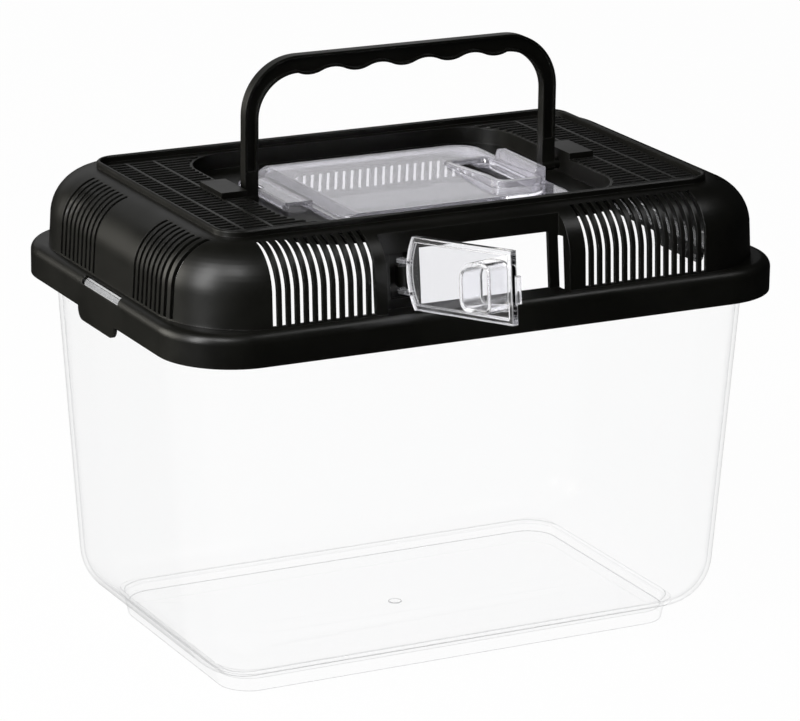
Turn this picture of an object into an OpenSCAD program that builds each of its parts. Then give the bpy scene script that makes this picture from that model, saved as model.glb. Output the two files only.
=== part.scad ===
/* [Tank] */
// Half length of the foot at the bottom
foot_x = 113; // [90:1:130]
// Half width of the foot at the bottom
foot_y = 63.4; // [50:0.2:80]
// Half length of the tank wall just above its bottom turn
wall_x = 133; // [110:1:150]
// Half width of the tank wall just above its bottom turn
wall_y = 84.5; // [70:0.5:100]
// Outward lean of the tank wall from bottom to top
wall_lean = 10.2; // [4:0.1:14]
// Height of the tank's rim
rim_z = 175.7; // [170:0.1:175.7]
// Wall thickness of the tank
tank_wall = 1.8; // [1.4:0.1:3]
// Height of the inside floor over the table
floor_z = 5.7; // [2.4:0.1:7]

/* [Lid] */
// Half length of the skirt
skirt_x = 150; // [120:1:180]
// Half width of the skirt
skirt_y = 102; // [80:1:130]
// Corner radius of the skirt
skirt_r = 34; // [20:1:45]
// Height of the skirt's bottom edge
skirt_z = 162.6; // [120:0.2:200]
// Height of the ledge where the dome starts
ledge_z = 177.5; // [130:0.5:215]
// Wall thickness of the lid
lid_wall = 1.7; // [1.4:0.1:3]
// Half length of the handle recess
recess_x = 81.5; // [70:0.5:95]
// Half width of the handle recess
recess_y = 67; // [60:0.5:75]
// Floor height of the handle recess
recess_z = 204.5; // [195:0.5:210]
// Distance between neighbouring long vents
vent_pitch = 4.23; // [3.6:0.01:5]
// Width of one vent
vent_w = 2.2; // [1.2:0.1:2.4]

/* [Handle] */
// Half length of the handle over its legs
handle_x = 78.5; // [60:0.5:80]
// Height of the grip's top
handle_top = 271.5; // [240:0.5:300]
// Thickness of the handle
handle_t = 5; // [4:0.5:8]
// Height of the pivot pins
pivot_z = 208; // [206:0.5:211]
// Radius of the pivot pins
pivot_r = 2.4; // [1.5:0.1:3]
// Distance between neighbouring finger bumps
bump_pitch = 23.4; // [18:0.2:28]
// Depth of the finger bumps
bump_depth = 2.5; // [1:0.1:4]

/* [Top hatch] */
// Height of the hatch's raised top
hatch_z = 209; // [207:0.5:212]
// Half width of the hatch's raised top
hatch_y = 47.3; // [40:0.1:52]
// Wall thickness of the clear pieces
clear_wall = 1.8; // [1.2:0.1:2.5]

/* [Front door] */
// Opening angle of the door at rest
door_open = 75; // [0:1:95]
// Backward lean of the door's hinge line
door_lean = 6.3; // [0:0.1:12]
// Height of the door panel
door_h = 32; // [25:0.1:40]
// Distance from the hinge line to the panel's straight free edge
door_reach = 72.4; // [60:0.2:80]
// Height of the finger pull above the panel
pull_h = 11.5; // [5:0.5:14]

/* [Hidden] */
// Roundness of every turned and rounded surface
$fn = 72;
foot_r = 14.4;
dome_x = 104;
dome_y = 56;
tray_x = 110;
tray_y = 62;
tray_r = 9.5;
shelf_z = 212;
tray_rim_z = 215;
door_axis = [-43.3, -87.4, 190];
door_z0 = -12.6;
hinge_x = -64.2;
hinge_z = 206.4;
tank_cx = 104;
tank_cy = 55.5;
skirt_cx = skirt_x - skirt_r;
skirt_cy = skirt_y - skirt_r;
pin_r = 1.3;
fit = 0.06;

// Carries a section (distance from the corner centre, height) round a rounded rectangle
module around(cx, cy) {
    for (i = [0:3]) {
        a = i % 2 == 0 ? cx : cy;
        b = i % 2 == 0 ? cy : cx;
        rotate([0, 0, 90 * i]) translate([a, b, 0]) {
            rotate_extrude(angle = 90) children();
            rotate([90, 0, 0]) linear_extrude(height = 2 * b) children();
        }
    }
}

// The same section with the middle filled in
module filled(cx, cy, z0, z1) {
    around(cx, cy) children();
    translate([-cx, -cy, z0]) cube([2 * cx, 2 * cy, z1 - z0]);
}

// Flat rounded rectangle between two corners
module rounded(x0, y0, x1, y1, r) {
    translate([x0 + r, y0]) square([x1 - x0 - 2 * r, y1 - y0]);
    translate([x0, y0 + r]) square([x1 - x0, y1 - y0 - 2 * r]);
    for (x = [x0 + r, x1 - r], y = [y0 + r, y1 - r]) translate([x, y]) circle(r = r);
}

module plate(x0, y0, x1, y1, r, z0, z1) {
    translate([0, 0, z0]) linear_extrude(height = z1 - z0) rounded(x0, y0, x1, y1, r);
}

// Section of the tank's body, grown inwards by g
module tank_section(g, z0, z1) {
    r1 = wall_x - tank_cx - g;
    r2 = r1 + wall_lean;
    turn = [4.46, 32.72];
    start = [11 - 0.3 * g, 9 + g];
    polygon([[0, z0], [start[0], z0], start, [r1, 31], [r2, rim_z], [r2, z1], [0, z1]]);
    intersection() {
        translate(turn) circle(r = 24.6 - g);
        polygon([start, [r1, 31], [r1 + 12, 18], [start[0] + 12, start[1] - 13]]);
    }
}

module tank() {
    color("#f2f2f4") difference() {
        union() {
            filled(foot_x - foot_r, foot_y - foot_r, 0, 9.2)
                polygon([[0, 0], [foot_r, 0], [foot_r + 2, 9.2], [0, 9.2]]);
            filled(tank_cx, tank_cy, 8.8, rim_z) tank_section(0, 8.8, rim_z);
            around(tank_cx, tank_cy) translate([37.5, rim_z - 2.4]) {
                square([3.2, 2.4]);
                translate([0, 0.8]) square([4, 0.8]);
                for (z = [0.8, 1.6]) translate([3.2, z]) circle(r = 0.8);
            }
        }
        filled(foot_x - foot_r, foot_y - foot_r, floor_z, 12)
            polygon([
                [0, floor_z], [foot_r - 0.6, floor_z], [foot_r + 0.5, 9.2], [foot_r + 1.9, 11],
                [foot_r + 4, 12], [0, 12]
            ]);
        filled(tank_cx, tank_cy, 9 + tank_wall, rim_z + 1)
            tank_section(tank_wall, 9 + tank_wall, rim_z + 1);
    }
    color("#f2f2f4") translate([0, 0, floor_z - 0.2]) cylinder(h = 0.6, r = 3);
}

// Section of the skirt with its rounded shoulder, grown inwards by g
module skirt_section(g, z0) {
    r = skirt_r - g;
    s = 4.5 - g;
    polygon([[0, z0], [r, z0], [r, 173], [r - s, ledge_z - g], [0, ledge_z - g]]);
    intersection() {
        translate([r - s, 173]) circle(r = s);
        translate([r - s, 173]) square(s);
    }
}

// Section of the domed part above the ledge, grown inwards by g
module dome_section(g, z0, z1) {
    polygon([[0, z0], [41.4 - g, z0], [41.4 - g, ledge_z], [40.6 - g, 191], [19.4, z1], [0, z1]]);
    intersection() {
        translate([19.4, 191]) circle(r = 21.2 - g);
        translate([0, 191]) square([50, z1 - 191]);
    }
}

// Places the door's hinge line, which leans back with the window wall
module at_door() {
    translate(door_axis) rotate([-door_lean, 0, 0]) children();
}

// Wall block of the front window, grown outwards by g
module window_block(g) {
    translate([-55 - g, 0, 0]) rotate([90, 0, 90]) linear_extrude(height = 89.5 + 2 * g)
        polygon([
            [-89 + g, 177.1 - min(g, 1.3)],
            [-84.1 + g, 217],
            [-120, 217],
            [-120, 177.1 - min(g, 1.3)]
        ]);
}

module lid_solid() {
    filled(skirt_cx, skirt_cy, skirt_z, ledge_z) skirt_section(0, skirt_z);
    filled(dome_x, dome_y, ledge_z - 1, 212.2) dome_section(0, ledge_z - 1, 212.2);
    around(tray_x, tray_y)
        polygon([
            [tray_r, 209], [tray_r + 2, 209], [tray_r + 2, tray_rim_z - 0.6], [tray_r + 1.4, tray_rim_z],
            [tray_r + 0.6, tray_rim_z], [tray_r, tray_rim_z - 0.6]
        ]);
}

module lid_hollow() {
    difference() {
        union() {
            filled(skirt_cx, skirt_cy, skirt_z - 1, ledge_z - lid_wall)
                skirt_section(lid_wall, skirt_z - 1);
            filled(dome_x, dome_y, ledge_z - lid_wall - 1, shelf_z - lid_wall)
                dome_section(lid_wall, ledge_z - lid_wall - 1, shelf_z - lid_wall);
        }
        plate(-recess_x - 2.2, -recess_y - 2.2, recess_x + 2.2, recess_y + 2.2, 27, recess_z - 2.2, 214);
        window_block(lid_wall);
        at_door() translate([-7.6, 0, -10.3]) cube([12.3, 6, 23.4]);
        for (s = [-1, 1]) translate([s > 0 ? recess_x : -recess_x - 6.5, -7, recess_z - 2.2]) cube([6.5, 14, 12]);
    }
}

// Vents cut through the wall from the ledge up over the curve
module vent_row(xs, y0, y1) {
    for (x = xs) translate([x - vent_w / 2, y0, 178.3]) cube([vent_w, y1 - y0, 33.2]);
}

module vents() {
    vent_row([for (k = [0:11]) -108.5 + 4.25 * k], -100, -75.5);
    vent_row([for (k = [0:14]) 43.5 + vent_pitch * k], -100, -75.5);
    vent_row([for (k = [0:46]) -98.6 + 4.22 * k], 75.5, 100);
    for (s = [-1, 1], y = [13.1, -67.4], k = [0:8])
        translate([s * 135.5, y + 4.55 * k, 178.3 + 16.6]) cube([23, vent_w, 33.2], center = true);
}

// Fine grip ribs on the two end shelves, up to the edge of the recess
module shelf_ribs() {
    difference() {
        for (s = [-1, 1]) {
            for (k = [-15:15]) translate([s * 88.5 - 29.5, 4.2 * k - 0.7, shelf_z - 0.1]) cube([59, 1.4, 0.7]);
            for (x = [93.9, 107.4]) translate([s * x - 0.7, -64, shelf_z - 0.1]) cube([1.4, 128, 0.9]);
        }
        plate(-recess_x - 1.4, -recess_y - 1.4, recess_x + 1.4, recess_y + 1.4, 26.4, 211, 214);
        plate(-recess_x - 12.5, -12, recess_x + 12.5, 13, 1, 211, 214);
    }
}

module lid() {
    color("#1b1b19") {
        difference() {
            lid_solid();
            lid_hollow();
            filled(tray_x, tray_y, shelf_z, 216) polygon([[0, shelf_z], [tray_r, shelf_z], [tray_r, 216], [0, 216]]);
            plate(-recess_x, -recess_y, recess_x, recess_y, 25, recess_z, 216);
            window_block(0);
            vents();
            translate([-34, -93, 177.1]) cube([63, 12, 25]);
            at_door() {
                translate([77.2, -3.4, -14.2]) cube([4.2, 7, 24.2]);
                translate([-5.9, -1, -9]) cube([8.9, 5.3, 20]);
            }
            plate(-38, -42, 50, 42, 12, 200, 206);
            for (s = [-1, 1]) {
                translate([s * 147.8, -4, 174.2]) rotate([0, s * 30, 0]) cube([4, 40, 12], center = true);
                translate([s * (recess_x - 1), 0, pivot_z]) rotate([0, s * 90, 0]) cylinder(h = 4.2, r = pivot_r + fit);
            }
        }
        lid_details();
    }
}

module lid_details() {
    shelf_ribs();
    for (s = [-1, 1]) {
        difference() {
            translate([s > 0 ? recess_x : -recess_x - 12.5, -11, shelf_z - 1]) cube([12.5, 23, 4]);
            translate([s * (recess_x - 1), 0, pivot_z]) rotate([0, s * 90, 0]) cylinder(h = 4.2, r = pivot_r + fit);
        }
        intersection() {
            translate([s > 0 ? skirt_x - lid_wall : -skirt_x, -20, 156.8]) cube([lid_wall, 40, 7]);
            rotate([90, 0, 90]) translate([0, 0, -200]) linear_extrude(height = 400) rounded(-20, 156.8, 20, 180, 5);
        }
    }
    difference() {
        translate([hinge_x, 15, hinge_z]) rotate([-90, 0, 0]) {
            translate([-2.2, 0, 0]) cube([4.4, hinge_z - recess_z + 1, 12]);
            cylinder(h = 12, r = 2.2);
        }
        translate([hinge_x, 14, hinge_z]) rotate([-90, 0, 0]) cylinder(h = 14, r = 0.9 + fit);
    }
    at_door() difference() {
        union() {
            translate([0, 0, -3.6]) cylinder(h = 8.8, r = 2.7);
            translate([-1.2, 0, -3.6]) cube([2.4, 5, 8.8]);
        }
        translate([0, 0, -5]) cylinder(h = 12, r = pin_r + fit);
    }
}

// Opening under the grip with its row of finger bumps, grown by g
module grip_opening(g) {
    r = (5.85 * 5.85 + bump_depth * bump_depth / 4) / bump_depth;
    x = handle_x - 6.5 + g;
    zm = handle_top - 8 + g;
    difference() {
        union() {
            rounded(-x, 150, x, zm, 19.5 + g);
            for (i = [-1.5:1:1.5]) intersection() {
                translate([i * bump_pitch, zm + bump_depth / 2 - r]) circle(r = r);
                translate([i * bump_pitch - 6, zm - 0.5]) square([12, 4]);
            }
        }
        for (i = [-2:2]) intersection() {
            translate([i * bump_pitch, zm - bump_depth / 2 + r]) circle(r = r);
            translate([i * bump_pitch - 5.85, zm - 3]) square([11.7, 3.01]);
        }
    }
}

// Outline of the bail, shrunk by g
module bail_outline(g) {
    difference() {
        rounded(-handle_x + g, 150, handle_x - g, handle_top - g, 26 - g);
        grip_opening(g);
    }
}

module handle() {
    color("#1b1b19") {
        difference() {
            translate([0, handle_t / 2, 0]) rotate([90, 0, 0]) linear_extrude(height = handle_t) difference() {
                bail_outline(0);
                translate([-100, 140]) square([200, pivot_z - 140]);
            }
            for (y = [-handle_t / 2 + 1.5, handle_t / 2 + 1]) translate([0, y, 0])
                rotate([90, 0, 0]) linear_extrude(height = 2.5) difference() {
                    bail_outline(1.2);
                    translate([-100, 140]) square([200, 221 - 140]);
                }
        }
        for (s = [-1, 1]) {
            translate([s * (handle_x - 6.5), 0, pivot_z]) rotate([0, s * 90, 0]) cylinder(h = 6.5, r = 3);
            translate([s * (handle_x - 1), 0, pivot_z]) rotate([0, s * 90, 0]) cylinder(h = 6.5, r = pivot_r);
        }
    }
}

// The hatch's raised box with its sloping hinge side, shrunk by g
module hatch_form(g) {
    intersection() {
        translate([0, 0, 200]) linear_extrude(height = 20) union() {
            rounded(-56 + g, -hatch_y + g, 52.5 - g, hatch_y - g, 12 - g);
            rounded(0, -27 + g, 60.5 - g, hatch_y - g, 12 - g);
        }
        translate([0, 60, 0]) rotate([90, 0, 0]) linear_extrude(height = 120)
            polygon([
                [-60, 200], [-60, 204.8 - g], [-53 + g, 204.8 - g], [-52 + g, 206 - g],
                [-45 + 0.6 * g, hatch_z - g], [62, hatch_z - g], [62, 200]
            ]);
    }
}

// Outline of the finger hole, grown by g
module finger_hole(g) {
    rounded(34 - g, -33 - g, 53.5 + g, 17.5 + g, 4 + g);
}

// Raised lip round the finger hole, rising towards the front
module finger_lip() {
    intersection() {
        translate([0, 0, hatch_z - clear_wall]) linear_extrude(height = 8) intersection() {
            finger_hole(3.2);
            translate([20, -40]) square([34, 70]);
        }
        rotate([90, 0, 90]) linear_extrude(height = 60)
            polygon([[-40, 200], [-40, hatch_z + 2.6], [-36, hatch_z + 3.4], [-22, hatch_z + 3.4], [22, hatch_z + 0.5], [22, 200]]);
    }
}

module top_hatch() {
    color("#d9d9e6") {
        difference() {
            union() {
                difference() {
                    hatch_form(0);
                    hatch_form(clear_wall);
                    translate([-100, -100, 190]) cube([200, 200, 14.8]);
                }
                difference() {
                    plate(-54, -51, 64, 51, 12, 204.8, 206.4);
                    plate(-50, -hatch_y + 2, 50, hatch_y - 2, 12, 204, 207);
                }
                finger_lip();
            }
            translate([0, 0, 203]) linear_extrude(height = 12) finger_hole(0);
        }
        translate([0, 11, 0]) rotate([90, 0, 0]) linear_extrude(height = 38)
            polygon([[53, 205], [60.3, 205], [60.3, 214.3], [59.8, 214.8], [56, 214.8], [55.5, 214.3], [54.2, 209]]);
        difference() {
            union() {
                translate([hinge_x, -14.5, hinge_z]) cube([13.2, 46.5, 1.6]);
                translate([hinge_x, -14.5, hinge_z]) rotate([-90, 0, 0]) cylinder(h = 46.5, r = 1.6);
            }
            translate([hinge_x - 2, 14.7, 200]) cube([5, 12.6, 10]);
        }
        translate([hinge_x, 14, hinge_z]) rotate([-90, 0, 0]) cylinder(h = 14, r = 0.9);
    }
}

// Outline of the door panel with its bowed hinge side, shrunk by g
module door_outline(g) {
    bow = 31.95;
    intersection() {
        translate([6.5 + g, door_z0 + g]) square([door_reach - 6.5 - 2 * g, door_h - 2 * g]);
        union() {
            translate([6.5 + bow, door_z0 + door_h / 2]) circle(r = bow - g);
            translate([6.5 + bow, door_z0]) square([60, door_h]);
        }
    }
}

// Outline of the pull, rounder at its top corner towards the hinge
module finger_pull(g) {
    translate([0, g]) rounded(50.8 + g, -7, 70 - g, 5, 5 - g);
    rounded(61, -7 + g, 70 - g, 14.6 - g, 4 - g);
    translate([59.3, 6.1]) circle(r = 8.5 - g);
    translate([50.8 + g, -2]) square([8.5, 8.1]);
    translate([59.3, 0]) square([6, 14.6 - g]);
}

// Turns a flat outline (along the door, up the door) so that it grows outwards from the door's face
module off_face(y0, y1) {
    translate([0, -y0, 0]) rotate([90, 0, 0]) linear_extrude(height = y1 - y0) children();
}

// The door as it lies when shut, with its hinge line on the Z axis
module door_closed() {
    off_face(0.4, 2) door_outline(0);
    off_face(0.4, 3.4) difference() {
        door_outline(0);
        door_outline(2.4);
    }
    translate([door_reach - 2, -2, -4]) cube([1.6, 4.4, 12]);
    off_face(1, 2 + pull_h) difference() {
        finger_pull(0);
        finger_pull(1.9);
    }
    for (z = [-6, 7.6]) {
        translate([0, -2.4, z - 0.8]) cube([8.5, 2, 1.6]);
        translate([0, 0, z - 0.8]) cylinder(h = 1.6, r = 2.4);
    }
    translate([0, 0, -6]) cylinder(h = 13.6, r = pin_r);
}

module front_door() {
    color("#d9d9e6") at_door() rotate([0, 0, -door_open]) door_closed();
}

tank();
lid();
handle();
top_hatch();
front_door();
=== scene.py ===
import math

import bpy
from mathutils import Matrix, Vector


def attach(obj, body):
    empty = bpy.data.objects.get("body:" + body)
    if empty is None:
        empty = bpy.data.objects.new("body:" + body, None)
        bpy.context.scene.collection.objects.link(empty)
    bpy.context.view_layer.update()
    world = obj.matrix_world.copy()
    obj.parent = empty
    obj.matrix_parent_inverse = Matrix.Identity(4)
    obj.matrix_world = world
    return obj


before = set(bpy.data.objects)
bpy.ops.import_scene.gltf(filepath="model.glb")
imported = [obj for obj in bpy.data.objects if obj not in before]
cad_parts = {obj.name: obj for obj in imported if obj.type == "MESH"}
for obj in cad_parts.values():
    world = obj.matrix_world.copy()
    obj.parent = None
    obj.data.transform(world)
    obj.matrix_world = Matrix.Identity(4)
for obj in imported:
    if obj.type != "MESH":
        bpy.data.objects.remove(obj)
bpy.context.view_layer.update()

bl_info = {
    "name": "Pet keeper looks",
    "version": (1, 0, 0),
    "blender": (4, 5, 0),
    "location": "3D View > Sidebar > Keeper",
    "description": "Finishes a clear pet keeper with a vented black lid and sets up its studio",
    "category": "Object",
}

MM = 0.001


def linear(hex_colour):
    """Linear red, green and blue of an sRGB hex colour such as #141412."""
    parts = [int(hex_colour[i:i + 2], 16) / 255 for i in (1, 3, 5)]
    return tuple(p / 12.92 if p <= 0.04045 else ((p + 0.055) / 1.055) ** 2.4 for p in parts)


def add_node(tree, kind, settings=None, inputs=None, links=None):
    """Adds one node, sets its properties and input values, and links outputs into its inputs."""
    node = tree.nodes.new(kind)
    for name, value in (settings or {}).items():
        setattr(node, name, value)
    for key, value in (inputs or {}).items():
        node.inputs[key].default_value = value
    for key, source in (links or {}).items():
        tree.links.new(source, node.inputs[key])
    return node


def new_material(name):
    """A node material of that name, with only its output node."""
    material = bpy.data.materials.new(name)
    material.use_nodes = True
    material.node_tree.nodes.clear()
    output = material.node_tree.nodes.new("ShaderNodeOutputMaterial")
    return material, material.node_tree, output


class KeeperPlastics(bpy.types.PropertyGroup):
    """Colours and surface sizes of the keeper's plastics."""
    lid_black: bpy.props.FloatVectorProperty(
        name="Lid black", description="Colour of the black lid and handle", subtype="COLOR",
        size=3, min=0, max=1, default=linear("#090906"))
    lid_bloom: bpy.props.FloatVectorProperty(
        name="Lid bloom", description="Greyer black where the moulded skin is rubbed or dusty",
        subtype="COLOR", size=3, min=0, max=1, default=linear("#12120d"))
    lid_roughness: bpy.props.FloatProperty(
        name="Lid roughness", description="Satin finish of the black plastic",
        subtype="FACTOR", min=0.1, max=0.9, default=0.36)
    bloom_size: bpy.props.FloatProperty(
        name="Bloom size", description="Size of the clouds of bloom on black plastic",
        unit="LENGTH", min=0.005, max=0.2, default=38 * MM)
    grain: bpy.props.FloatProperty(
        name="Mould grain", description="Size of the fine grain that the mould leaves on black plastic",
        unit="LENGTH", min=0.0002, max=0.004, default=0.9 * MM)
    tank_clear: bpy.props.FloatVectorProperty(
        name="Tank clear", description="Tint of the clear tank", subtype="COLOR",
        size=3, min=0, max=1, default=linear("#f2f3f5"))
    tank_body: bpy.props.FloatProperty(
        name="Tank body", description="How much the thin flat walls of the tank show",
        subtype="FACTOR", min=0, max=1, default=0.09)
    rim_frost: bpy.props.FloatProperty(
        name="Rim frost", description="Milky share of the tank's thick rim",
        subtype="FACTOR", min=0, max=1, default=0.35)
    rim_height: bpy.props.FloatProperty(
        name="Rim height", description="Height from which the tank is the thick rim",
        unit="LENGTH", min=0.1, max=0.3, default=168.5 * MM)
    hatch_clear: bpy.props.FloatVectorProperty(
        name="Hatch clear", description="Tint of the clear hatch",
        subtype="COLOR", size=3, min=0, max=1, default=linear("#f1f0f6"))
    hatch_haze: bpy.props.FloatProperty(
        name="Hatch haze", description="Milky share of the hatch's plastic",
        subtype="FACTOR", min=0, max=1, default=0.07)
    lip_frost: bpy.props.FloatProperty(
        name="Lip frost", description="Milky share of the hatch's thick lip and tab",
        subtype="FACTOR", min=0, max=1, default=0.22)
    lip_height: bpy.props.FloatProperty(
        name="Lip height", description="Height from which the hatch is its thick lip and tab",
        unit="LENGTH", min=0.1, max=0.3, default=209.3 * MM)
    door_clear: bpy.props.FloatVectorProperty(
        name="Door clear", description="Tint of the clear front door",
        subtype="COLOR", size=3, min=0, max=1, default=linear("#fcfcff"))
    flow_wave: bpy.props.FloatProperty(
        name="Flow wave", description="Length of the slow waves that flow leaves in clear walls",
        unit="LENGTH", min=0.005, max=0.2, default=46 * MM)
    rub_size: bpy.props.FloatProperty(
        name="Rub size", description="Size of the rubbed patches on clear plastic",
        unit="LENGTH", min=0.005, max=0.2, default=21 * MM)


class KeeperRibs(bpy.types.PropertyGroup):
    """Sizes of the rounded crowns on the lid's shelf ribs."""
    count: bpy.props.IntProperty(
        name="Ribs", description="Number of ribs on each shelf", min=1, max=99, default=31)
    pitch: bpy.props.FloatProperty(
        name="Rib pitch", description="Distance between two ribs", unit="LENGTH",
        min=0.001, max=0.02, default=4.2 * MM)
    width: bpy.props.FloatProperty(
        name="Crown width", description="Width of a crown", unit="LENGTH",
        min=0.0005, max=0.004, default=1.36 * MM)
    height: bpy.props.FloatProperty(
        name="Crown height", description="Height of a crown", unit="LENGTH",
        min=0.00005, max=0.001, default=0.18 * MM)
    top: bpy.props.FloatProperty(
        name="Rib top", description="Height of the flat rib tops", unit="LENGTH",
        min=0.1, max=0.3, default=212.59 * MM)
    inner: bpy.props.FloatProperty(
        name="Inner end", description="Distance of the ribs' inner ends from the middle",
        unit="LENGTH", min=0.01, max=0.2, default=59.2 * MM)
    outer: bpy.props.FloatProperty(
        name="Outer end", description="Distance of the ribs' outer ends from the middle",
        unit="LENGTH", min=0.01, max=0.3, default=117.8 * MM)
    recess_length: bpy.props.FloatProperty(
        name="Recess half length", description="Half length of the area that the recess takes",
        unit="LENGTH", min=0.01, max=0.2, default=83.1 * MM)
    recess_width: bpy.props.FloatProperty(
        name="Recess half width", description="Half width of the area that the recess takes",
        unit="LENGTH", min=0.01, max=0.2, default=68.6 * MM)
    recess_corner: bpy.props.FloatProperty(
        name="Recess corner", description="Corner radius of that area", unit="LENGTH",
        min=0.001, max=0.1, default=26.4 * MM)
    pad_length: bpy.props.FloatProperty(
        name="Pad end", description="Distance of the handle pad's end from the middle",
        unit="LENGTH", min=0.01, max=0.2, default=94.2 * MM)
    pad_width: bpy.props.FloatProperty(
        name="Pad half width", description="Half width of the handle pad", unit="LENGTH",
        min=0.001, max=0.1, default=13 * MM)


class KeeperStudio(bpy.types.PropertyGroup):
    """Sizes, colours and lamp powers of the studio."""
    floor_half: bpy.props.FloatProperty(
        name="Floor half size", description="Half length of the pale floor", unit="LENGTH",
        min=1, max=50, default=12)
    floor_white: bpy.props.FloatVectorProperty(
        name="Floor white", description="Colour of the pale floor", subtype="COLOR",
        size=3, min=0, max=1, default=linear("#f6f6f5"))
    floor_glow: bpy.props.FloatProperty(
        name="Floor glow", description="Share of the floor that shows as plain white, without shadow",
        subtype="FACTOR", min=0, max=1, default=0.97)
    floor_mirrored: bpy.props.FloatProperty(
        name="Floor in gloss", description="Brightness of the floor as gloss reflects it",
        min=0, max=1, default=0.025)
    key_power: bpy.props.FloatProperty(
        name="Key lamp", description="Power of the tall soft lamp at the left",
        unit="POWER", min=0, max=200, default=17)
    second_power: bpy.props.FloatProperty(
        name="Second lamp", description="Power of the small soft lamp at the upper front left",
        unit="POWER", min=0, max=200, default=5)
    left_power: bpy.props.FloatProperty(
        name="Left card", description="Power of the pale card at the left",
        unit="POWER", min=0, max=200, default=12)
    back_power: bpy.props.FloatProperty(
        name="Back card", description="Power of the bright card behind the keeper",
        unit="POWER", min=0, max=200, default=1.8)
    hatch_power: bpy.props.FloatProperty(
        name="Hatch card", description="Power of the small card that the clear hatch mirrors",
        unit="POWER", min=0, max=200, default=0.1)
    top_power: bpy.props.FloatProperty(
        name="Top lamp", description="Power of the small lamp at the upper front right",
        unit="POWER", min=0, max=200, default=2.5)
    ambient_light: bpy.props.FloatProperty(
        name="Ambient light", description="Brightness of the surroundings as a light",
        min=0, max=1, default=0.28)
    mirror_light: bpy.props.FloatProperty(
        name="Dark surroundings", description="Brightness of the surroundings as gloss reflects them",
        min=0, max=1, default=0.012)


def black_polypropylene(plastics):
    """Black polypropylene, injection moulded: satin, with a fine mould grain and a grey bloom.

    The real grain is about 0.1 mm. It is drawn coarser, so that it shows in a render.
    """
    material, tree, output = new_material("black_polypropylene_moulded")
    place = add_node(tree, "ShaderNodeTexCoord").outputs["Object"]
    bloom = add_node(tree, "ShaderNodeTexNoise", {"noise_dimensions": "3D"},
                     {"Scale": 1 / plastics.bloom_size, "Detail": 4.0, "Roughness": 0.6},
                     {"Vector": place})
    grain = add_node(tree, "ShaderNodeTexNoise", {"noise_dimensions": "3D"},
                     {"Scale": 1 / plastics.grain, "Detail": 2.0}, {"Vector": place})
    spread = add_node(tree, "ShaderNodeMapRange",
                      inputs={"From Min": 0.42, "From Max": 0.72, "To Min": 0.0, "To Max": 0.6},
                      links={"Value": bloom.outputs["Fac"]})
    colour = add_node(tree, "ShaderNodeMix", {"data_type": "RGBA"},
                      {"A": (*plastics.lid_black, 1), "B": (*plastics.lid_bloom, 1)},
                      {"Factor": spread.outputs["Result"]})
    rough = add_node(tree, "ShaderNodeMapRange",
                     inputs={"From Min": 0.3, "From Max": 0.7,
                             "To Min": plastics.lid_roughness - 0.04,
                             "To Max": plastics.lid_roughness + 0.06},
                     links={"Value": bloom.outputs["Fac"]})
    round_edge = add_node(tree, "ShaderNodeBevel", {"samples": 4}, {"Radius": 0.45 * MM})
    bump = add_node(tree, "ShaderNodeBump", inputs={"Strength": 0.12, "Distance": 0.05 * MM},
                    links={"Height": grain.outputs["Fac"], "Normal": round_edge.outputs["Normal"]})
    plastic = add_node(tree, "ShaderNodeBsdfPrincipled", inputs={"IOR": 1.49},
                       links={"Base Color": colour.outputs["Result"],
                              "Roughness": rough.outputs["Result"],
                              "Normal": bump.outputs["Normal"]})
    tree.links.new(plastic.outputs["BSDF"], output.inputs["Surface"])
    return material


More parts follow.
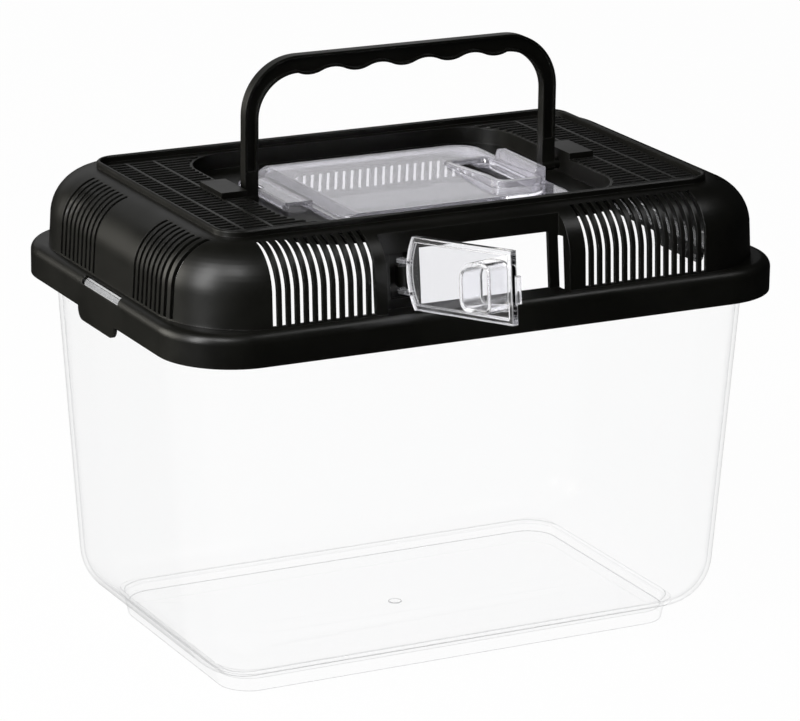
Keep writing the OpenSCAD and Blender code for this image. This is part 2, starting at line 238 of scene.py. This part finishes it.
def clear_polystyrene(name, tint, wave, rub, edge, shade=1.0, mirror=0.5, roughness=0.0, haze=0.0,
                      body=1.0, edge_haze=0.0, frost=0.0, frost_height=1.0):
    """Clear polystyrene, injection moulded: gloss, with slow flow waves and softly rounded edges.

    The wave is the length of the flow waves, and the rub is the size of the rubbed patches. Edges
    are rounded to the edge radius, their tint is darkened by the shade factor, which is painted
    shade, and they are milkier by the edge haze. The haze is the milky share that the whole moulding
    scatters. The body is how much a thin flat wall shows; edges and walls at a slant always show more.
    From the frost height up the moulding is thick: it shows fully, takes half the painted shade of an
    edge and is milkier by the frost.
    """
    # An edge is where the rounded normal leaves the true one: from the first dot product of the two
    # it begins to show, and at the second it is the edge itself.
    edge_begins, edge_full = 0.998, 0.93
    frost_full = frost_height + 0.4 * MM
    material, tree, output = new_material(name)
    place = add_node(tree, "ShaderNodeTexCoord").outputs["Object"]
    surface = add_node(tree, "ShaderNodeNewGeometry")

    # The polished skin: flow waves over rounded edges.
    flow = add_node(tree, "ShaderNodeTexNoise", {"noise_dimensions": "3D"},
                    {"Scale": 1 / wave, "Detail": 1.0}, {"Vector": place})
    round_edge = add_node(tree, "ShaderNodeBevel", {"samples": 6}, {"Radius": edge})
    bump = add_node(tree, "ShaderNodeBump", inputs={"Strength": 0.2, "Distance": 0.3 * MM},
                    links={"Height": flow.outputs["Fac"], "Normal": round_edge.outputs["Normal"]})

    # Where the moulding has an edge, and where it is thick.
    turn = add_node(tree, "ShaderNodeVectorMath", {"operation": "DOT_PRODUCT"},
                    links={0: round_edge.outputs["Normal"], 1: surface.outputs["Normal"]})
    at_edge = add_node(tree, "ShaderNodeMapRange",
                       inputs={"From Min": edge_begins, "From Max": edge_full},
                       links={"Value": turn.outputs["Value"]})
    height = add_node(tree, "ShaderNodeSeparateXYZ", links={0: place})
    thick = add_node(tree, "ShaderNodeMapRange",
                     inputs={"From Min": frost_height, "From Max": frost_full},
                     links={"Value": height.outputs["Z"]})

    # The share of light that passes: less where the plastic is rubbed, thick or at an edge.
    patches = add_node(tree, "ShaderNodeTexNoise", {"noise_dimensions": "3D"},
                       {"Scale": 1 / rub, "Detail": 3.0, "Roughness": 0.55}, {"Vector": place})
    milky = add_node(tree, "ShaderNodeMapRange",
                     inputs={"From Min": 0.3, "From Max": 0.7,
                             "To Min": 1 - haze * 1.2, "To Max": 1 - haze * 0.8},
                     links={"Value": patches.outputs["Fac"]})
    frosted = add_node(tree, "ShaderNodeMapRange",
                       inputs={"From Min": frost_height, "From Max": frost_full,
                               "To Min": 1.0, "To Max": 1 - frost},
                       links={"Value": height.outputs["Z"]})
    through_skin = add_node(tree, "ShaderNodeMath", {"operation": "MULTIPLY"},
                            links={0: milky.outputs["Result"], 1: frosted.outputs["Result"]})
    through_edge = add_node(tree, "ShaderNodeMapRange", inputs={"To Min": 1.0, "To Max": 1 - edge_haze},
                            links={"Value": at_edge.outputs["Result"]})
    light_through = add_node(tree, "ShaderNodeMath", {"operation": "MULTIPLY"},
                             links={0: through_skin.outputs["Value"],
                                    1: through_edge.outputs["Result"]})

    # The tint with painted shade: darker at edges, and half as much where it is thick.
    half_thick = add_node(tree, "ShaderNodeMath", {"operation": "MULTIPLY"}, {1: 0.5},
                          {0: thick.outputs["Result"]})
    painted_shade_share = add_node(tree, "ShaderNodeMath", {"operation": "MAXIMUM"},
                      links={0: at_edge.outputs["Result"], 1: half_thick.outputs["Value"]})
    colour = add_node(tree, "ShaderNodeMix", {"data_type": "RGBA"},
                      {"A": (*tint, 1), "B": (*(shade * part for part in tint), 1)},
                      {"Factor": painted_shade_share.outputs["Value"]})

    # How much the plastic shows: fully at edges and where it is thick, more at a slant than
    # straight on, and less from within.
    edge_shown = add_node(tree, "ShaderNodeMapRange",
                          inputs={"From Min": edge_begins, "From Max": edge_full,
                                  "To Min": body, "To Max": 1.0},
                          links={"Value": turn.outputs["Value"]})
    slant = add_node(tree, "ShaderNodeLayerWeight", inputs={"Blend": 0.5})
    slant_shown = add_node(tree, "ShaderNodeMapRange",
                           inputs={"From Min": 0.6, "From Max": 1.0,
                                   "To Min": body, "To Max": max(body, 0.5)},
                           links={"Value": slant.outputs["Facing"]})
    wall_shown = add_node(tree, "ShaderNodeMath", {"operation": "MAXIMUM"},
                          links={0: thick.outputs["Result"], 1: slant_shown.outputs["Result"]})
    most_shown = add_node(tree, "ShaderNodeMath", {"operation": "MAXIMUM"},
                          links={0: edge_shown.outputs["Result"], 1: wall_shown.outputs["Value"]})
    from_within = add_node(tree, "ShaderNodeMapRange", inputs={"To Min": 1.0, "To Max": body},
                           links={"Value": surface.outputs["Backfacing"]})
    shown = add_node(tree, "ShaderNodeMath", {"operation": "MULTIPLY"},
                     links={0: most_shown.outputs["Value"], 1: from_within.outputs["Result"]})

    plastic = add_node(tree, "ShaderNodeBsdfPrincipled",
                       inputs={"Roughness": roughness, "IOR": 1.59, "Specular IOR Level": mirror},
                       links={"Base Color": colour.outputs["Result"],
                              "Normal": bump.outputs["Normal"],
                              "Alpha": shown.outputs["Value"],
                              "Transmission Weight": light_through.outputs["Value"]})
    # Clear plastic casts almost no shadow.
    open_way = add_node(tree, "ShaderNodeBsdfTransparent", inputs={"Color": (*tint, 1)})
    rays = add_node(tree, "ShaderNodeLightPath")
    both = add_node(tree, "ShaderNodeMixShader",
                    links={0: rays.outputs["Is Shadow Ray"], 1: plastic.outputs["BSDF"],
                           2: open_way.outputs["BSDF"]})
    tree.links.new(both.outputs["Shader"], output.inputs["Surface"])
    return material


def dress(node_name, material):
    """Gives a CAD node its finished material."""
    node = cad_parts[node_name]
    node.data.materials.clear()
    node.data.materials.append(material)
    for face in node.data.polygons:
        face.material_index = 0


class KEEPER_OT_tank(bpy.types.Operator):
    """Finish the clear tank"""
    bl_idname = "keeper.tank"
    bl_label = "Tank"

    def execute(self, context):
        plastics = context.scene.keeper_plastics
        # Thin polished walls that hardly show, with painted shade darkening the edges and the thick
        # rim, which is also milky.
        clear = clear_polystyrene(
            "clear_polystyrene_moulded", plastics.tank_clear, plastics.flow_wave, plastics.rub_size,
            edge=0.8 * MM, shade=0.25, body=plastics.tank_body,
            frost=plastics.rim_frost, frost_height=plastics.rim_height)
        dress("tank", clear)
        return {"FINISHED"}


def crown_bar(width, height):
    """A bar of unit length along X with a flat arch for its section."""
    arch_steps = 8
    angles = [math.pi * k / arch_steps for k in range(arch_steps + 1)]
    arch = [(-0.5 * width * math.cos(angle), height * math.sin(angle)) for angle in angles]
    points = [(x, y, z) for x in (-0.5, 0.5) for y, z in arch]
    n = len(arch)
    faces = [(k, k + 1, n + k + 1, n + k) for k in range(arch_steps)]
    faces += [(0, n, 2 * n - 1, n - 1), tuple(range(n - 1, -1, -1)), tuple(range(n, 2 * n))]
    mesh = bpy.data.meshes.new("crown_bar")
    mesh.from_pydata(points, [], faces)
    bar = bpy.data.objects.new("crown_bar", mesh)
    bpy.context.scene.collection.objects.link(bar)
    return bar


def crown_tree():
    """Geometry nodes that lay one crown on every shelf rib, up to the recess and the handle pads."""
    tree = bpy.data.node_groups.new("rib_crowns", "GeometryNodeTree")
    sizes = ("Pitch", "First rib", "Top", "Inner", "Outer", "Recess width", "Corner length",
             "Corner width", "Corner radius", "Pad length", "Pad width")
    tree.interface.new_socket(name="Bar", in_out="INPUT", socket_type="NodeSocketObject")
    tree.interface.new_socket(name="Count", in_out="INPUT", socket_type="NodeSocketInt")
    for name in sizes:
        tree.interface.new_socket(name=name, in_out="INPUT", socket_type="NodeSocketFloat")
    tree.interface.new_socket(name="Material", in_out="INPUT", socket_type="NodeSocketMaterial")
    tree.interface.new_socket(name="Geometry", in_out="OUTPUT", socket_type="NodeSocketGeometry")
    given = tree.nodes.new("NodeGroupInput").outputs

    # One point for each rib, in a line across the lid.
    first = add_node(tree, "ShaderNodeCombineXYZ", links={"Y": given["First rib"], "Z": given["Top"]})
    pitch = add_node(tree, "ShaderNodeCombineXYZ", links={"Y": given["Pitch"]})
    line = add_node(tree, "GeometryNodeMeshLine", {"mode": "OFFSET"},
                    links={"Count": given["Count"], "Start Location": first.outputs["Vector"],
                           "Offset": pitch.outputs["Vector"]})
    place = add_node(tree, "GeometryNodeInputPosition")
    across = add_node(tree, "ShaderNodeSeparateXYZ", links={0: place.outputs["Position"]})

    # Each rib begins at the shelf's inner end, the recess's rounded rim or the handle pad, and the
    # one that reaches furthest out counts. A row names its value, the sum and what goes into it.
    steps = (
        ("off", "ABSOLUTE", "y"),
        ("past", "SUBTRACT", "off", "Corner width"),
        ("into", "MAXIMUM", "past", 0.0),
        ("share", "DIVIDE", "into", "Corner radius"),
        ("angle", "ARCSINE", "share"),
        ("reach", "COSINE", "angle"),
        ("rim", "MULTIPLY_ADD", "reach", "Corner radius", "Corner length"),
        ("beside recess", "LESS_THAN", "off", "Recess width"),
        ("at rim", "MULTIPLY", "rim", "beside recess"),
        ("beside pad", "LESS_THAN", "off", "Pad width"),
        ("at pad", "MULTIPLY", "Pad length", "beside pad"),
        ("begin", "MAXIMUM", "at rim", "at pad"),
        ("start", "MAXIMUM", "begin", "Inner"),
        ("length", "SUBTRACT", "Outer", "start"),
        ("ends", "ADD", "Outer", "start"),
        ("right", "MULTIPLY", "ends", 0.5),
        ("left", "MULTIPLY", "ends", -0.5),
    )
    values = {"y": across.outputs["Y"], **{name: given[name] for name in sizes}}
    for name, operation, *operands in steps:
        numbers = {k: part for k, part in enumerate(operands) if not isinstance(part, str)}
        sockets = {k: values[part] for k, part in enumerate(operands) if isinstance(part, str)}
        # The share stays between 0 and 1, past the corner too, so that it has an arcsine.
        settings = {"operation": operation, "use_clamp": operation == "DIVIDE"}
        values[name] = add_node(tree, "ShaderNodeMath", settings, numbers, sockets).outputs["Value"]

    # The bar is stretched to each rib's length and laid on the left and the right shelf.
    scale = add_node(tree, "ShaderNodeCombineXYZ", inputs={"Y": 1.0, "Z": 1.0},
                     links={"X": values["length"]})
    bar = add_node(tree, "GeometryNodeObjectInfo", links={"Object": given["Bar"]})
    join = tree.nodes.new("GeometryNodeJoinGeometry")
    for side in ("left", "right"):
        shift = add_node(tree, "ShaderNodeCombineXYZ", links={"X": values[side]})
        moved = add_node(tree, "GeometryNodeSetPosition",
                         links={"Geometry": line.outputs["Mesh"], "Offset": shift.outputs["Vector"]})
        bars = add_node(tree, "GeometryNodeInstanceOnPoints",
                        links={"Points": moved.outputs["Geometry"],
                               "Instance": bar.outputs["Geometry"],
                               "Scale": scale.outputs["Vector"]})
        tree.links.new(bars.outputs["Instances"], join.inputs["Geometry"])
    real = add_node(tree, "GeometryNodeRealizeInstances", links={"Geometry": join.outputs["Geometry"]})
    painted = add_node(tree, "GeometryNodeSetMaterial",
                       links={"Geometry": real.outputs["Geometry"], "Material": given["Material"]})
    output = tree.nodes.new("NodeGroupOutput")
    tree.links.new(painted.outputs["Geometry"], output.inputs["Geometry"])
    return tree


def rib_crowns(ribs, material):
    """One mesh with a rounded crown on every shelf rib of the lid."""
    bar = crown_bar(ribs.width, ribs.height)
    tree = crown_tree()
    maker = bpy.data.objects.new("rib_crowns_maker", bpy.data.meshes.new("rib_crowns_maker"))
    bpy.context.scene.collection.objects.link(maker)
    modifier = maker.modifiers.new("rib_crowns", "NODES")
    modifier.node_group = tree
    values = {
        "Bar": bar,
        "Count": ribs.count,
        "Pitch": ribs.pitch,
        "First rib": -0.5 * ribs.pitch * (ribs.count - 1),
        "Top": ribs.top,
        "Inner": ribs.inner,
        "Outer": ribs.outer,
        "Recess width": ribs.recess_width,
        "Corner length": ribs.recess_length - ribs.recess_corner,
        "Corner width": ribs.recess_width - ribs.recess_corner,
        "Corner radius": ribs.recess_corner,
        "Pad length": ribs.pad_length,
        "Pad width": ribs.pad_width,
        "Material": material,
    }
    for item in tree.interface.items_tree:
        if item.in_out == "INPUT":
            modifier[item.identifier] = values[item.name]
    depsgraph = bpy.context.evaluated_depsgraph_get()
    mesh = bpy.data.meshes.new_from_object(maker.evaluated_get(depsgraph), depsgraph=depsgraph)
    maker.modifiers.remove(modifier)
    bpy.data.objects.remove(maker)
    bpy.data.objects.remove(bar)
    if len(mesh.polygons) == 0:
        raise RuntimeError("the rib crowns came out empty")
    mesh.name = "rib_crowns"
    crowns = bpy.data.objects.new("rib_crowns", mesh)
    bpy.context.scene.collection.objects.link(crowns)
    return crowns


class KEEPER_OT_lid(bpy.types.Operator):
    """Finish the black lid and its handle, and round the crowns of the shelf ribs"""
    bl_idname = "keeper.lid"
    bl_label = "Lid and handle"

    def execute(self, context):
        black = black_polypropylene(context.scene.keeper_plastics)
        dress("lid", black)
        dress("handle", black)
        crowns = rib_crowns(context.scene.keeper_ribs, black)
        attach(crowns, "lid")
        return {"FINISHED"}


class KEEPER_OT_doors(bpy.types.Operator):
    """Finish the clear top hatch and front door"""
    bl_idname = "keeper.doors"
    bl_label = "Hatch and door"

    def execute(self, context):
        plastics = context.scene.keeper_plastics
        # The hatch is a thick moulding, a little rubbed, with a milky lip and tab; its edges, lip and
        # tab are darkened with painted shade.
        milky = clear_polystyrene(
            "milky_polystyrene_moulded", plastics.hatch_clear, 0.5 * plastics.flow_wave,
            plastics.rub_size, edge=0.8 * MM, shade=0.45, roughness=0.01, haze=plastics.hatch_haze,
            frost=plastics.lip_frost, frost_height=plastics.lip_height)
        # The door is bright and unmarked, and its edges scatter some of the light.
        bright = clear_polystyrene(
            "bright_polystyrene_moulded", plastics.door_clear, 0.5 * plastics.flow_wave,
            plastics.rub_size, edge=1.0 * MM, mirror=0.3, edge_haze=0.3)
        dress("top_hatch", milky)
        dress("front_door", bright)
        return {"FINISHED"}


def seen_white(tree, ambient, mirrored):
    """A value that is 1 straight on and through clear plastic, mirrored in gloss, else ambient."""
    rays = add_node(tree, "ShaderNodeLightPath")
    through = add_node(tree, "ShaderNodeMath", {"operation": "GREATER_THAN"}, {1: 0.5},
                       {0: rays.outputs["Transmission Depth"]})
    first = add_node(tree, "ShaderNodeMath", {"operation": "MAXIMUM"},
                     links={0: rays.outputs["Is Camera Ray"], 1: through.outputs["Value"]})
    gloss = add_node(tree, "ShaderNodeMapRange", inputs={"To Min": ambient, "To Max": mirrored},
                     links={"Value": rays.outputs["Is Glossy Ray"]})
    white = add_node(tree, "ShaderNodeMapRange", inputs={"To Max": 1.0},
                     links={"Value": first.outputs["Value"], "To Min": gloss.outputs["Result"]})
    return white.outputs["Result"]


def soft_lamp(name, power, size, place, target, tint=(1, 1, 1)):
    """A soft lamp of that power, width and height in watts and metres, turned to the target."""
    data = bpy.data.lights.new(name, "AREA")
    data.energy = power
    data.shape = "RECTANGLE"
    data.size, data.size_y = size
    data.color = tint
    lamp = bpy.data.objects.new(name, data)
    lamp.location = place
    lamp.rotation_euler = (Vector(target) - Vector(place)).to_track_quat("-Z", "Y").to_euler()
    bpy.context.scene.collection.objects.link(lamp)


class KEEPER_OT_stage(bpy.types.Operator):
    """Set up the floor, the surroundings, the lamps and the camera"""
    bl_idname = "keeper.stage"
    bl_label = "Studio"

    def execute(self, context):
        studio = context.scene.keeper_studio
        self.add_floor(studio)
        self.add_world(studio)
        self.add_lamps(studio)
        self.add_camera(context.scene)
        context.scene.view_settings.view_transform = "Standard"
        return {"FINISHED"}

    def add_floor(self, studio):
        """A large pale floor that looks white to the camera and keeps part of the shadow."""
        h = studio.floor_half
        mesh = bpy.data.meshes.new("floor")
        mesh.from_pydata([(-h, -h, 0), (h, -h, 0), (h, h, 0), (-h, h, 0)], [], [(0, 1, 2, 3)])
        floor = bpy.data.objects.new("floor", mesh)
        bpy.context.scene.collection.objects.link(floor)
        # White studio paper: matt, and plain white where the camera sees it.
        material, tree, output = new_material("white_studio_paper")
        paper = add_node(tree, "ShaderNodeBsdfDiffuse", inputs={"Color": (*studio.floor_white, 1)})
        dark = add_node(tree, "ShaderNodeBsdfDiffuse",
                        inputs={"Color": (*[studio.floor_mirrored] * 3, 1)})
        glow = add_node(tree, "ShaderNodeEmission", inputs={"Color": (1, 1, 1, 1), "Strength": 1.0})
        rays = add_node(tree, "ShaderNodeLightPath")
        lit = add_node(tree, "ShaderNodeMixShader",
                       links={0: rays.outputs["Is Glossy Ray"], 1: paper.outputs["BSDF"],
                              2: dark.outputs["BSDF"]})
        share = add_node(tree, "ShaderNodeMath", {"operation": "MULTIPLY"}, {1: studio.floor_glow},
                         {0: seen_white(tree, 0.0, 0.0)})
        both = add_node(tree, "ShaderNodeMixShader",
                        links={0: share.outputs["Value"], 1: lit.outputs["Shader"],
                               2: glow.outputs["Emission"]})
        tree.links.new(both.outputs["Shader"], output.inputs["Surface"])
        mesh.materials.append(material)

    def add_world(self, studio):
        """Surroundings that look white and give a soft, lower light."""
        world = bpy.data.worlds.new("white_surroundings")
        world.use_nodes = True
        tree = world.node_tree
        tree.nodes.clear()
        sky = add_node(tree, "ShaderNodeBackground", inputs={"Color": (1, 1, 1, 1)},
                       links={"Strength": seen_white(tree, studio.ambient_light, studio.mirror_light)})
        output = add_node(tree, "ShaderNodeOutputWorld")
        tree.links.new(sky.outputs["Background"], output.inputs["Surface"])
        bpy.context.scene.world = world

    def add_lamps(self, studio):
        """Soft lamps and pale cards, each placed where the black gloss or the hatch mirrors it."""
        tank, hatch, grip = (0, 0, 0.12), (0, 0, 0.21), (0, 0, 0.3)
        cream = (1, 0.97, 0.88)
        soft_lamp("key_lamp", studio.key_power, (0.4, 1.3), (-1.3, -0.34, 0.82), grip)
        soft_lamp("second_lamp", studio.second_power, (0.4, 0.4), (-0.7, -0.8, 1.22), tank)
        soft_lamp("left_card", studio.left_power, (1.1, 0.9), (-1.4, 0.9, 0.5), tank, cream)
        soft_lamp("back_card", studio.back_power, (1.6, 1.0), (0.28, 1.7, 0.85), tank)
        soft_lamp("hatch_card", studio.hatch_power, (0.5, 0.5), (0.95, 1.75, 0.8), hatch)
        soft_lamp("top_lamp", studio.top_power, (0.5, 0.5), (0.75, -0.55, 1.6), tank)

    def add_camera(self, scene):
        """A camera at the photograph's viewing angle and framing."""
        data = bpy.data.cameras.new("camera")
        data.sensor_width = 36
        data.lens = 188.543
        data.shift_x = 0.0033852
        data.shift_y = 0.0601662
        data.clip_end = 100
        camera = bpy.data.objects.new("camera", data)
        place = (-0.84311919, -1.63625891, 0.67842569)
        right = Vector((0.8905107759, -0.4548188108, 0.0114196034))
        up = Vector((0.1266649641, 0.2719546768, 0.9539374406))
        back = Vector((-0.4369743069, -0.8480451068, 0.2997881786))
        turn = Matrix((right, up, back)).transposed().to_4x4()
        camera.matrix_world = Matrix.Translation(place) @ turn
        scene.collection.objects.link(camera)
        scene.camera = camera


class KEEPER_PT_panel(bpy.types.Panel):
    """Buttons and settings of the keeper"""
    bl_label = "Pet keeper"
    bl_idname = "KEEPER_PT_panel"
    bl_space_type = "VIEW_3D"
    bl_region_type = "UI"
    bl_category = "Keeper"

    def draw(self, context):
        scene = context.scene
        column = self.layout.column()
        for operator in OPERATORS:
            column.operator(operator.bl_idname)
        for group in (scene.keeper_plastics, scene.keeper_ribs, scene.keeper_studio):
            for name in group.bl_rna.properties.keys():
                if name not in ("rna_type", "name"):
                    column.prop(group, name)


OPERATORS = (KEEPER_OT_tank, KEEPER_OT_lid, KEEPER_OT_doors, KEEPER_OT_stage)
CLASSES = (KeeperPlastics, KeeperRibs, KeeperStudio, *OPERATORS, KEEPER_PT_panel)


def register():
    """Registers the classes and hangs the three groups of settings on the scene."""
    for cls in CLASSES:
        bpy.utils.register_class(cls)
    bpy.types.Scene.keeper_plastics = bpy.props.PointerProperty(type=KeeperPlastics)
    bpy.types.Scene.keeper_ribs = bpy.props.PointerProperty(type=KeeperRibs)
    bpy.types.Scene.keeper_studio = bpy.props.PointerProperty(type=KeeperStudio)


def unregister():
    """Takes away what register adds."""
    del bpy.types.Scene.keeper_studio
    del bpy.types.Scene.keeper_ribs
    del bpy.types.Scene.keeper_plastics
    for cls in reversed(CLASSES):
        bpy.utils.unregister_class(cls)


def main():
    """Registers the add-on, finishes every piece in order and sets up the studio."""
    register()
    bpy.ops.keeper.tank()
    bpy.ops.keeper.lid()
    bpy.ops.keeper.doors()
    bpy.ops.keeper.stage()


if __name__ == "__main__":
    main()
